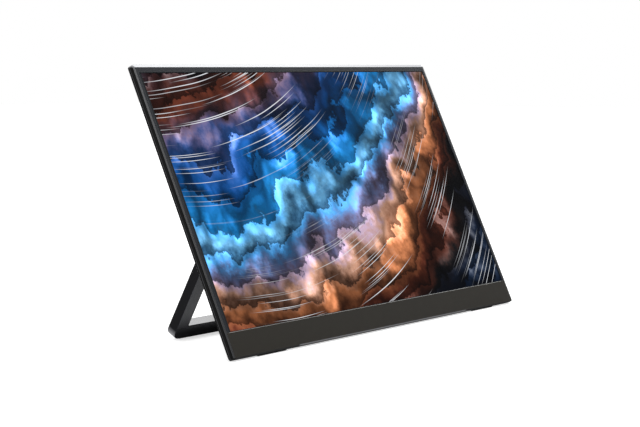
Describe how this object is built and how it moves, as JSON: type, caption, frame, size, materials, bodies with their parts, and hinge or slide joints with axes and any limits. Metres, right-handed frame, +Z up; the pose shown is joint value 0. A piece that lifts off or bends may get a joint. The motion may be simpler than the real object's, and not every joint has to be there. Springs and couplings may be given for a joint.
{
  "type": "portable monitor with a fold-out stand",
  "caption": "Thin portable monitor with a narrow bezel and a deep chin, leaned back on a U-shaped metal stand that folds flat into its back.",
  "frame": {"origin": "on the table plane, under the middle of the bounding box of the opened monitor", "axes": "+Z up, +X to the right seen from the front, +Y from the front to the back"},
  "size_m": [0.3546, 0.102, 0.2004],
  "materials": {
    "bezel_plastic": "fine spark-eroded texture, dark grey",
    "chin_plastic": "painted smooth dark grey",
    "foam_tape": "closed-cell foam",
    "shell_aluminium": "stamped sheet, anodised dark grey",
    "foot_rubber": "moulded matt black",
    "housing_plastic": "fine spark-eroded texture, near black",
    "hinge_steel": "zinc plated",
    "screen_film": "anti-glare hard coat",
    "panel_glass": "float glass",
    "clear_film": "optical film",
    "clear_acrylic": "clear acrylic",
    "white_film": "white polyester",
    "module_plastic": "moulded black",
    "tray_steel": "galvanised sheet",
    "flex_film": "polyimide film",
    "white_plastic": "moulded white with phosphor",
    "circuit_board": "solder resist on glass laminate",
    "standoff_brass": "turned",
    "black_steel": "black oxide",
    "screw_steel": "nickel plated",
    "chip_plastic": "moulded epoxy",
    "pad_silicone": "soft silicone",
    "coil_ferrite": "pressed ferrite",
    "connector_plastic": "moulded natural",
    "socket_steel": "nickel plated sheet",
    "speaker_plastic": "moulded black",
    "cone_film": "pressed film",
    "mesh_fabric": "woven polyester",
    "lead_insulation": "extruded insulation",
    "key_plastic": "fine spark-eroded texture",
    "stand_aluminium": "bead blasted, anodised dark grey"
  },
  "bodies": {
    "display": {"bezel_frame": "bezel_plastic", "chin_cover": "chin_plastic", "panel_tape": "foam_tape", "rear_shell": "shell_aluminium", "case_feet": "foot_rubber", "rear_housing": "housing_plastic", "right_hinge_bracket": "hinge_steel", "left_hinge_bracket": "hinge_steel", "front_polarizer": "screen_film", "color_filter_glass": "panel_glass", "thin_film_glass": "panel_glass", "rear_polarizer": "clear_film", "optical_films": "clear_film", "light_guide": "clear_acrylic", "reflector_sheet": "white_film", "module_frame": "module_plastic", "module_tray": "tray_steel", "light_strip": "flex_film", "backlight_diodes": "white_plastic", "driver_board": "circuit_board", "driver_films": "flex_film", "housing_standoffs": "standoff_brass", "housing_screws": "black_steel", "main_board": "circuit_board", "socket_board": "circuit_board", "key_board": "circuit_board", "board_standoffs": "standoff_brass", "board_screws": "screw_steel", "board_chips": "chip_plastic", "thermal_pad": "pad_silicone", "power_coils": "coil_ferrite", "socket_ribbon": "flex_film", "key_ribbon": "flex_film", "display_ribbon": "flex_film", "ribbon_connectors": "connector_plastic", "usb_c_sockets": "socket_steel", "mini_hdmi_socket": "socket_steel", "socket_tongues": "chip_plastic", "headphone_jack": "chip_plastic", "key_switches": "screw_steel", "status_light_pipe": "clear_acrylic", "status_diode": "white_plastic", "speaker_boxes": "speaker_plastic", "speaker_cones": "cone_film", "speaker_gaskets": "foam_tape", "speaker_mesh": "mesh_fabric", "speaker_leads": "lead_insulation", "hinge_standoffs": "standoff_brass", "hinge_screws": "screw_steel", "rocker_pin": "screw_steel"},
    "stand": {"stand_frame": "stand_aluminium", "stand_pad": "foot_rubber", "right_hinge_shaft": "screw_steel", "left_hinge_shaft": "screw_steel", "friction_discs": "screw_steel", "lock_nuts": "screw_steel", "shaft_set_screws": "black_steel"},
    "power_button": {"power_button": "key_plastic"},
    "volume_rocker": {"volume_rocker": "key_plastic"}
  },
  "joints": [
    {"name": "stand_hinge", "type": "hinge", "parent": "display", "child": "stand", "pos_m": [0, 0.00008, 0.08859], "axis": [1, 0, 0], "range_deg": [-54.13, 35.87]},
    {"name": "power_button_press", "type": "slide", "parent": "display", "child": "power_button", "axis": [1, 0, 0], "range_m": [0, 0.0004], "stiffness_N_per_m": 1500, "springref_m": -0.0002},
    {"name": "volume_rocker_tilt", "type": "hinge", "parent": "display", "child": "volume_rocker", "pos_m": [-0.1633, -0.02334, 0.04093], "axis": [0, 0.9041, -0.4274], "range_deg": [-2.5, 2.5], "stiffness_Nm_per_rad": 0.3}
  ]
}
